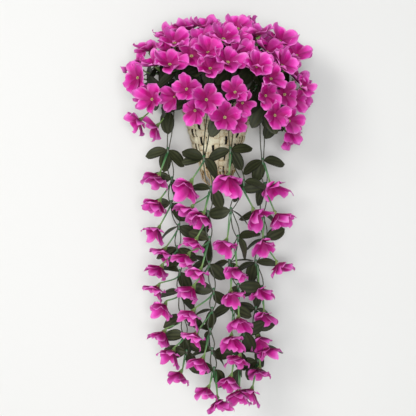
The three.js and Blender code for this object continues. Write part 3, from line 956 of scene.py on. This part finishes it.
def bloomFrame(centre, facing, spin, size):
    side = facing.cross(front if abs(facing.z) > 0.9 else up).normalized()
    turned = poseMatrix(centre, side, facing.cross(side), facing)
    return turned @ Matrix.Rotation(math.radians(spin), 4, "Z") @ Matrix.Scale(size, 4)


pedicel = {"steps": 8, "calyxGap": 6.5, "thin": 1.0, "thick": 1.7, "green": 0.28, "pale": 0.68}


def pedicelRoute(base, firstWay, centre, facing, bow):
    # from the stem out and round into the back of the bloom
    end = centre - facing * pedicel["calyxGap"]
    route = []
    for step in range(pedicel["steps"] + 1):
        share = step / pedicel["steps"]
        point = bezier(base, base + firstWay * bow, centre - facing * bow, end, share)
        route.append((point, mix(pedicel["thin"], pedicel["thick"], share ** 1.5),
                      mix(pedicel["green"], pedicel["pale"], share)))
    return route


def finishFoliage(name, petals, leaves, hearts, routes):
    finishPiece(join(petals, name + "_petals"), petalCloth, [name], 70)
    finishPiece(join(leaves, name + "_leaves"), leafCloth, [name], 70)
    stems = join([addTubes(name + "Tubes", routes), *hearts], name + "_stems")
    finishPiece(stems, mouldedStem, [name])


dome = {"centre": Vector((6, -78, -40)), "halfWidth": 186, "depth": 130, "rise": 159, "drop": 120,
        "inset": 0.13, "faceFront": 0.45, "jitter": 0.32, "leafAt": 0.55, "stemReach": 26, "innerLeaves": 3,
        "tiltFrom": 5, "tiltSpan": 12, "tilt": 15, "steepest": 52, "size": 1.0, "upperSize": 1.18, "sink": 5,
        "crownSink": 15, "crownFrom": 36, "crownSpan": 24, "stemTip": 1.7, "stemRipe": 0.2, "bow": 0.32,
        "lowTint": 0.42, "highTint": 0.6, "tintRange": 0.4, "outerLeafTint": 0.8, "rimLeafTint": 0.7,
        "rimLeafSize": 1.12}
foamRoot = {"low": -84, "high": -59, "radius": 2.4}
# blooms as (azimuth, elevation) on the dome; rim leaves as (bloom, step along its pedicel, which way);
# a bloom that lies behind the rest has its size and how many millimetres deeper it sits
sprays = {
    "spray_left": {
        "seed": 118, "root": (-46, -26), "fork": (-66, -46, -10),
        "blooms": [(-66, 12), (-64, -3), (-78, -24), (-97, -33)],
        "rimLeaves": [(3, 5, (0.05, -0.3, -1))]},
    "spray_front_left": {
        "seed": 130, "root": (-34, -60), "fork": (-44, -84, -10),
        "blooms": [(-47, -7), (-35, -6), (-21, 0), (-20, -22)],
        "rimLeaves": [(3, 4, (-0.7, -0.5, -0.6)), (0, 6, (-0.9, -0.4, 0.1))]},
    "spray_front": {
        "seed": 150, "root": (0, -74), "fork": (2, -94, -8),
        "blooms": [(-9, -10), (9, -2), (2, -26), (15, -14), (11, -31)], "behind": {4: (0.84, 12)},
        "rimLeaves": [(2, 6, (-0.6, -0.2, -1))]},
    "spray_front_right": {
        "seed": 93, "root": (34, -60), "fork": (44, -84, -10),
        "blooms": [(31, 8), (32, -5), (37, -23)],
        "rimLeaves": [(2, 5, (-0.6, -0.3, -1)), (2, 6, (0.3, -0.3, -1))]},
    "spray_right": {
        "seed": 237, "root": (46, -26), "fork": (70, -48, -10),
        "blooms": [(54, -27), (50, -2), (60, 5), (66, -5), (68, -36), (85, 1), (90, -40), (74, 15)],
        "rimLeaves": [(4, 5, (-0.5, -0.2, -1)), (0, 4, (-0.4, -0.3, -1))]},
    "spray_upper_left": {
        "seed": 85, "root": (-26, -30), "fork": (-44, -52, 12),
        "blooms": [(-82, 24), (-61, 26), (-82, 38), (-59, 44), (-76, 54)]},
    "spray_upper_mid_left": {
        "seed": 122, "root": (-14, -52), "fork": (-18, -84, 14),
        "blooms": [(-34, 19), (-24, 30), (-9, 27), (-8, 18), (-38, 38), (-20, 47)]},
    "spray_upper_mid_right": {
        "seed": 122, "root": (14, -52), "fork": (28, -84, 14),
        "blooms": [(4, 19), (16, 29), (22, 16), (28, 23), (2, 40), (16, 43)]},
    "spray_upper_right": {
        "seed": 30, "root": (26, -30), "fork": (56, -56, 12),
        "blooms": [(42, 19), (57, 23), (71, 31), (46, 38), (36, 50), (84, 40), (72, 47)]},
    "spray_crown_left": {
        "seed": 147, "root": (-8, -24), "fork": (-12, -48, 34),
        "blooms": [(-69, 66), (-44, 74), (-22, 64), (-2, 58)]},
    "spray_crown_right": {
        "seed": 98, "root": (10, -24), "fork": (26, -48, 34),
        "blooms": [(18, 58), (66, 58), (90, 66), (34, 74)]},
}


def onDome(azimuth, elevation, share):
    way = direction(azimuth, elevation)
    height = dome["rise"] if way.z > 0 else dome["drop"]
    return dome["centre"] + Vector((way.x * dome["halfWidth"], way.y * dome["depth"], way.z * height)) * share


def bloomFacing(azimuth, elevation):
    # low blooms look at the front, high ones up over it
    high = fade(elevation, dome["tiltFrom"], dome["tiltSpan"])
    way = direction(azimuth, elevation) + front * (dome["faceFront"] * math.cos(math.radians(elevation)))
    turn = math.degrees(math.atan2(way.x, -way.y))
    climb = math.degrees(math.asin(max(min(way.normalized().z, 1), -1)))
    return direction(turn * (1 - 0.3 * high), min(climb + dome["tilt"] * high, dome["steepest"])), high


def rootPoints(x, y):
    # the part of a stem that is pushed into the foam
    return [Vector((x, y, foamRoot[end])) for end in ("low", "high")]


def buildSpray(name, spray):
    seed = spray["seed"]
    fork = Vector(spray["fork"])
    outward = fork - dome["centre"]
    outward.z = 12
    outward.normalize()
    stemEnd = fork + outward * dome["stemReach"]
    stem = smoothRoute([*rootPoints(*spray["root"]), fork, stemEnd], 5)
    routes = [[(point, mix(foamRoot["radius"], dome["stemTip"], i / (len(stem) - 1)), dome["stemRipe"])
               for i, point in enumerate(stem)]]
    centres = [onDome(azimuth, elevation, 1 - dome["inset"] * (i % 2))
               for i, (azimuth, elevation) in enumerate(spray["blooms"])]
    order = sorted(range(len(centres)), key=lambda i: -(centres[i] - fork).angle(outward))
    petals, leaves, hearts = [], [], []
    for i, (azimuth, elevation) in enumerate(spray["blooms"]):
        facing, high = bloomFacing(azimuth, elevation)
        facing += Vector([swing(seed, i + 40 * axis, dome["jitter"]) for axis in range(3)])
        facing.normalize()
        smaller, deeper = spray.get("behind", {}).get(i, (1, 0))
        size = mix(dome["size"], dome["upperSize"], high) * (1 + swing(seed, i + 340, 0.05)) * smaller
        crown = fade(elevation, dome["crownFrom"], dome["crownSpan"])
        centre = centres[i] - facing * (mix(dome["sink"], dome["crownSink"], crown) + deeper)
        base = fork.lerp(stemEnd, (order.index(i) + 0.5) / len(centres))
        matrix = bloomFrame(centre, facing, 72 * draw(seed, i + 120), size)
        models = broadModels if high > 0.5 else openModels
        model = models[int(draw(seed, i + 300) * len(models))]
        # low blooms get a lower tint, as painted shade under the crown; the rest of the tint is random tone
        tint = mix(dome["lowTint"], dome["highTint"], high) + dome["tintRange"] * draw(seed, i + 320)
        petals.append(placeCopy(model, matrix, tint))
        hearts.append(placeCopy(heartModel, matrix))
        bow = dome["bow"] * (centre - base).length
        route = pedicelRoute(base, ((centre - base).normalized() + outward).normalized(), centre, facing, bow)
        routes.append(route)
        if i % 4 == 0:
            leafWay = direction(azimuth + swing(seed, i + 160, 30), elevation - 30)
            leaves.append(placeLeaf(base.lerp(centre, dome["leafAt"]), leafWay, up + front * 0.5, seed, i,
                                    dome["outerLeafTint"]))
        # leaves lie along the pedicels, shingled inside the blooms
        way = direction(azimuth, elevation)
        sideways = way.cross(up if abs(way.z) < 0.9 else front).normalized()
        upward = sideways.cross(way).normalized()
        for k in range(dome["innerLeaves"]):
            pick = 10 * i + k
            turn = 2 * math.pi * (k / dome["innerLeaves"] + draw(seed, pick + 400))
            leafWay = (sideways * math.cos(turn) + upward * math.sin(turn) + way * 0.3).normalized()
            # leaves inside the dome get a low tint, as painted shade
            tint, leafSize = 0.4 * draw(seed, pick + 440), 0.95 + 0.25 * draw(seed, pick + 480)
            leaves.append(placeLeaf(route[3 + k][0], leafWay, way, seed, pick + 40, tint, leafSize))
        # and a few hang out over the rim
        for k, (bloom, step, hang) in enumerate(spray.get("rimLeaves", [])):
            if bloom == i:
                leaves.append(placeLeaf(route[step][0], Vector(hang).normalized(), front + up * 0.3, seed,
                                        k + 600, dome["rimLeafTint"], dome["rimLeafSize"]))
    finishFoliage(name, petals, leaves, hearts, routes)


for sprayName, sprayFacts in sprays.items():
    buildSpray(sprayName, sprayFacts)
print("sprays placed")


strand = {
    "liftZ": -34, "overZ": -25, "crestDrop": 20, "tail": 16, "radius": 1.15, "gap": 1.7, "bow": 4.2,
    "depthSwing": 4, "forward": 16, "forwardSwing": 5, "faceOut": 0.62, "faceDown": 0.85, "leafSwing": 10,
    "pedicelGap": 2.0, "pedicelBow": 10, "roll": 27, "apart": 2.4, "steps": 6, "stemRipe": 0.02,
    "topSize": 1.2, "tint": 0.4, "tintRange": 0.45, "leafTint": 0.5, "leafTintRange": 0.5,
    # the green sleeve that holds a whorl on its stems, as (height, radius)
    "sleeve": [(6, 1.8), (4, 2.9), (0, 3.2), (-5, 2.6), (-8, 1.7)], "sleeveRipe": 0.3,
}
# whorls as (x, z); a bloom hangs off a whorl: (whorl, how far to its right, how far below it)
strands = {
    "strand_left": {
        "seed": 4, "root": (-50, -44), "over": (-88, -84), "depth": -86, "leafBack": 0.2,
        "whorls": [(-101, -146), (-93, -205), (-95, -253), (-79, -300), (-82, -344),
                   (-77, -392), (-77, -434), (-71, -482), (-66, -520), (-63, -554)],
        "blooms": [(0, -18, 51), (1, -25, 44), (2, -25, 50), (3, -28, 46), (4, -32, 36), (5, -44, 28),
                   (6, -30, 22), (7, -37, 30), (8, -24, 28), (9, -11, 38)],
        "leafTurns": [(190, -42, -95), (-70, 172), (-48, 184), (205, -30)]},
    "strand_mid_left": {
        "seed": 42, "root": (-17, -76), "over": (-14, -122), "depth": -152, "leafBack": 0.35,
        "whorls": [(-28, -167), (-14, -226), (-20, -273), (-17, -323), (-18, -371),
                   (-9, -423), (-12, -460), (-16, -501), (-12, -538), (-8, -576)],
        "blooms": [(0, -26, 46), (1, -38, 36), (1, -15, 48), (2, -23, 50), (3, -42, 30), (3, -18, 58),
                   (4, -31, 44), (5, -39, 38), (6, -30, 44), (7, -14, 50), (9, -11, 32), (9, 8, 54)],
        "leafTurns": [(195, -50, 150), (175, -62), (200, -95), (150, -100)]},
    "strand_mid_right": {
        "seed": 43, "root": (17, -76), "over": (26, -121), "depth": -130, "leafBack": 0.3,
        "whorls": [(24, -149), (50, -212), (25, -267), (39, -321), (22, -369),
                   (39, -416), (26, -457), (50, -506), (34, -545), (44, -579)],
        "blooms": [(0, -4, 53), (1, 20, 55), (2, -9, 60), (3, -4, 59), (4, 4, 57), (5, 1, 60),
                   (6, 0, 54), (7, -9, 44), (8, -9, 46), (9, -4, 38)],
        "leafTurns": [(8, 200, -60), (2, -110), (205, -32), (-60, 20)]},
    "strand_right": {
        "seed": 29, "root": (50, -44), "over": (86, -84), "depth": -80, "leafBack": 0.2,
        "whorls": [(91, -167), (96, -216), (90, -275), (96, -325), (77, -373),
                   (90, -426), (77, -468), (77, -508), (88, -545), (82, -576)],
        "blooms": [(0, 17, 49), (1, 21, 58), (2, 1, 54), (3, 25, 49), (4, 7, 50), (5, 4, 49),
                   (6, 4, 53), (7, 20, 36), (8, -4, 40), (9, -14, 52)],
        "leafTurns": [(-5, 200, -100), (-110, 190), (-25, 185), (25, 210)]},
}


def stemPoint(whorls, i, share, side):
    # a point on one stem of the pair, a share of the way from whorl i down to the next
    below = whorls[i + 1] if i + 1 < len(whorls) else whorls[i] + down * strand["tail"]
    bow = strand["gap"] + strand["bow"] * math.sin(math.pi * share ** 1.5) * (i + 1 < len(whorls))
    return whorls[i].lerp(below, share) + Vector((side * bow, 0, 0))


def stemRoute(facts, whorls, side):
    root, over = facts["root"], facts["over"]
    steps = strand["steps"]
    crest = [*rootPoints(*root), Vector((*root, strand["liftZ"])),
             Vector(((root[0] + over[0]) / 2, (root[1] + over[1]) / 2, strand["overZ"])),
             Vector((*over, strand["overZ"] - strand["crestDrop"]))]
    points = smoothRoute([*crest, stemPoint(whorls, 0, 0, side)], steps)[:-1]
    # the pair parts on its way down to the first whorl
    last = len(points) - 1
    points = [point + Vector((side * (strand["apart"] * math.sin(math.pi * (i / last) ** 9) + 1.0), 0, 0))
              for i, point in enumerate(points)]
    for i in range(len(whorls)):
        points += [stemPoint(whorls, i, step / steps, side) for step in range(steps)]
    points.append(stemPoint(whorls, len(whorls) - 1, 1, side))
    return [(point, strand["radius"], strand["stemRipe"]) for point in points]


def buildStrand(name, facts):
    seed = facts["seed"]
    whorls = [Vector((x, facts["depth"] + swing(seed, i, strand["depthSwing"]), z))
              for i, (x, z) in enumerate(facts["whorls"])]
    routes = [stemRoute(facts, whorls, side) for side in (-1, 1)]
    petals, leaves, hearts = [], [], []
    for whorl in whorls:
        routes.append([(whorl + up * height, radius, strand["sleeveRipe"])
                       for height, radius in strand["sleeve"]])
    for k, (i, right, drop) in enumerate(facts["blooms"]):
        out = Vector((right, swing(seed, k + 60, strand["forwardSwing"]) - strand["forward"], 0)).normalized()
        centre = whorls[i] + Vector((right, out.y * strand["forward"], -drop))
        facing = (out * strand["faceOut"] + down * strand["faceDown"]).normalized()
        size = mix(strand["topSize"], 1, min(i / 2, 1))
        matrix = bloomFrame(centre, facing, 72 * draw(seed, k + 180), size)
        model = droopModels[int(draw(seed, k + 300) * len(droopModels))]
        petals.append(placeCopy(model, matrix, strand["tint"] + strand["tintRange"] * draw(seed, k + 320)))
        hearts.append(placeCopy(heartModel, matrix))
        # two pedicels run side by side into the calyx
        sideways = out.cross(up)
        base = stemPoint(whorls, i, 0.2 if k % 2 else 0.1, -1 if right < 0 else 1)
        firstWay = (out * 0.5 + down).normalized()
        for side in (-1, 1):
            start = base + sideways * (side * strand["pedicelGap"])
            routes.append(pedicelRoute(start, firstWay, centre, facing, strand["pedicelBow"]))
    upward = up * 0.6 + front * 0.8
    for i, whorl in enumerate(whorls):
        for k, turn in enumerate(facts["leafTurns"][i % len(facts["leafTurns"])]):
            pick = 4 * i + k
            angle = math.radians(turn + swing(seed, pick + 220, strand["leafSwing"]))
            along = Vector((math.cos(angle), facts["leafBack"] + swing(seed, pick + 260, 0.1),
                            math.sin(angle))).normalized()
            roll = swing(seed, pick + 720, strand["roll"]) * min(i, 2)
            turned = Matrix.Rotation(math.radians(roll), 3, along) @ upward
            base = stemPoint(whorls, i, 0, -1 if along.x < 0 else 1)
            tint = strand["leafTint"] + strand["leafTintRange"] * draw(seed, pick + 700)
            leaves.append(placeLeaf(base, along, turned, seed, pick, tint))
    finishFoliage(name, petals, leaves, hearts, routes)


for strandName, strandFacts in strands.items():
    buildStrand(strandName, strandFacts)
print("strands hung")

for model in [*openModels, *broadModels, *droopModels, heartModel, *leafModels]:
    bpy.data.objects.remove(model)


stage = {"wallY": 1.5, "wallWidth": 5000, "wallTop": 1600, "floorZ": -1050, "floorDepth": 4000}
stageColours = {"wall": colour(234, 234, 232), "floor": colour(222, 221, 218)}


def addPanel(name, roughness, rule):
    # a flat panel whose corners the rule places, from -0.5 to 0.5 each way
    panel = addPrimitive(bpy.ops.mesh.primitive_plane_add, size=1)
    panel.name = name
    for vertex in panel.data.vertices:
        vertex.co = Vector(rule(vertex.co.x, vertex.co.y)) * mm
    material, tree, shader = newMaterial(name + "Paint", {
        "Roughness": roughness, "Base Color": stageColours[name]})
    panel.data.materials.append(material)
    return panel, tree, shader


def buildStage():
    wall, tree, shader = addPanel("wall", 0.9, lambda x, y: (
        x * stage["wallWidth"], stage["wallY"], stage["wallTop"] if y > 0 else stage["floorZ"]))
    # the back of the wall is clear, so that the part is seen from behind
    backfacing = tree.nodes.new("ShaderNodeNewGeometry").outputs["Backfacing"]
    clear = tree.nodes.new("ShaderNodeBsdfTransparent").outputs["BSDF"]
    choice = addNode(tree, "ShaderNodeMixShader", {"Fac": backfacing, 1: shader.outputs["BSDF"], 2: clear})
    tree.links.new(choice.outputs["Shader"], tree.nodes["Material Output"].inputs["Surface"])
    wall.visible_diffuse = False
    wall.visible_shadow = False
    floor = addPanel("floor", 0.85, lambda x, y: (
        x * stage["wallWidth"], y * stage["floorDepth"], stage["floorZ"]))[0]


lights = {
    "key": {"place": (-2000, -2900, 1000), "size": 1500, "power": 57, "tint": (1, 0.985, 0.965)},
    "fill": {"place": (150, -3250, -450), "size": 1300, "power": 58, "tint": (0.97, 0.985, 1)},
}
aim = Vector((0, -60, -260))
ambient = {"tint": (0.97, 0.985, 1, 1), "strength": 0.25}


def addLight(name, facts):
    data = bpy.data.lights.new(name, "AREA")
    data.size = facts["size"] * mm
    data.energy = facts["power"]
    data.color = facts["tint"]
    lamp = link(bpy.data.objects.new(name, data))
    place = Vector(facts["place"])
    lamp.location = place * mm
    lamp.rotation_euler = (aim - place).to_track_quat("-Z", "Y").to_euler()


def addAmbient():
    world = bpy.data.worlds.new("softRoom")
    world.use_nodes = True
    background = world.node_tree.nodes["Background"]
    background.inputs["Color"].default_value = ambient["tint"]
    background.inputs["Strength"].default_value = ambient["strength"]
    bpy.context.scene.world = world


# the photograph is 416 pixels wide, with 2.137 mm of wall behind each
camera = {"place": (-20, -1600, -263), "pictureWidth": 416, "wallScale": 2.137, "sensor": 36}


def addCamera():
    data = bpy.data.cameras.new("camera")
    data.sensor_width = camera["sensor"]
    data.lens = camera["sensor"] * -camera["place"][1] / (camera["pictureWidth"] * camera["wallScale"])
    eye = link(bpy.data.objects.new("camera", data))
    eye.location = Vector(camera["place"]) * mm
    eye.rotation_euler = (math.pi / 2, 0, 0)
    bpy.context.scene.camera = eye


buildStage()
for lightName, lightFacts in lights.items():
    addLight(lightName, lightFacts)
addAmbient()
addCamera()
bpy.context.scene.view_settings.view_transform = "Standard"
print("stage, light and camera set")
